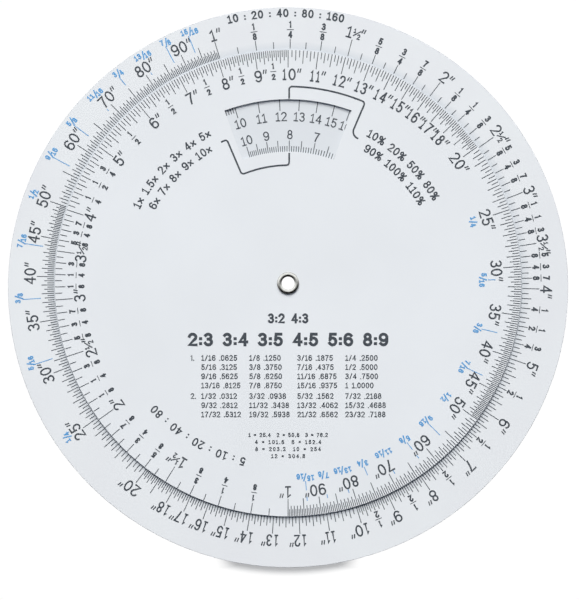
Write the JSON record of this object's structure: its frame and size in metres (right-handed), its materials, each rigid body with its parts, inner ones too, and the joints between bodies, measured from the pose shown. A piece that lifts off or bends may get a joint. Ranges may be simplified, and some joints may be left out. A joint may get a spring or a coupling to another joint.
{
  "type": "proportional scale wheel",
  "caption": "Circular slide rule for resizing pictures: a printed dial with a reading window turns on a larger printed disc about a hollow eyelet.",
  "frame": {"origin": "on the axis of the eyelet's hole, at the level of the surface that the wheel lies on, which is the lowest point of the clinched roll under the base disc", "axes": "+Z along the eyelet's axis, out of the printed side; +Y towards the middle of the reading window at rest, which is the top of the dial; +X to the right of a reader"},
  "size_m": [0.1588, 0.1587, 0.0026],
  "materials": {
    "white_vinyl": "satin rigid vinyl sheet, die cut",
    "black_ink": "screen printed ink",
    "blue_ink": "screen printed ink",
    "nickel_plate": "bright nickel plate on pressed brass"
  },
  "bodies": {
    "base": {"base_disc": "white_vinyl", "outer_scale_ticks": "black_ink", "outer_fraction_ticks": "blue_ink", "percent_scale_ticks": "black_ink", "times_scale_ticks": "black_ink", "eyelet": "nickel_plate"},
    "dial": {"dial_disc": "white_vinyl", "inner_scale_ticks": "black_ink", "inner_fraction_ticks": "blue_ink", "percent_pointer": "black_ink", "times_pointer": "black_ink"}
  },
  "joints": [
    {"name": "dial_spin", "type": "hinge", "parent": "base", "child": "dial", "pos_m": [0, 0, 0.00166], "axis": [0, 0, 1], "continuous": true}
  ]
}
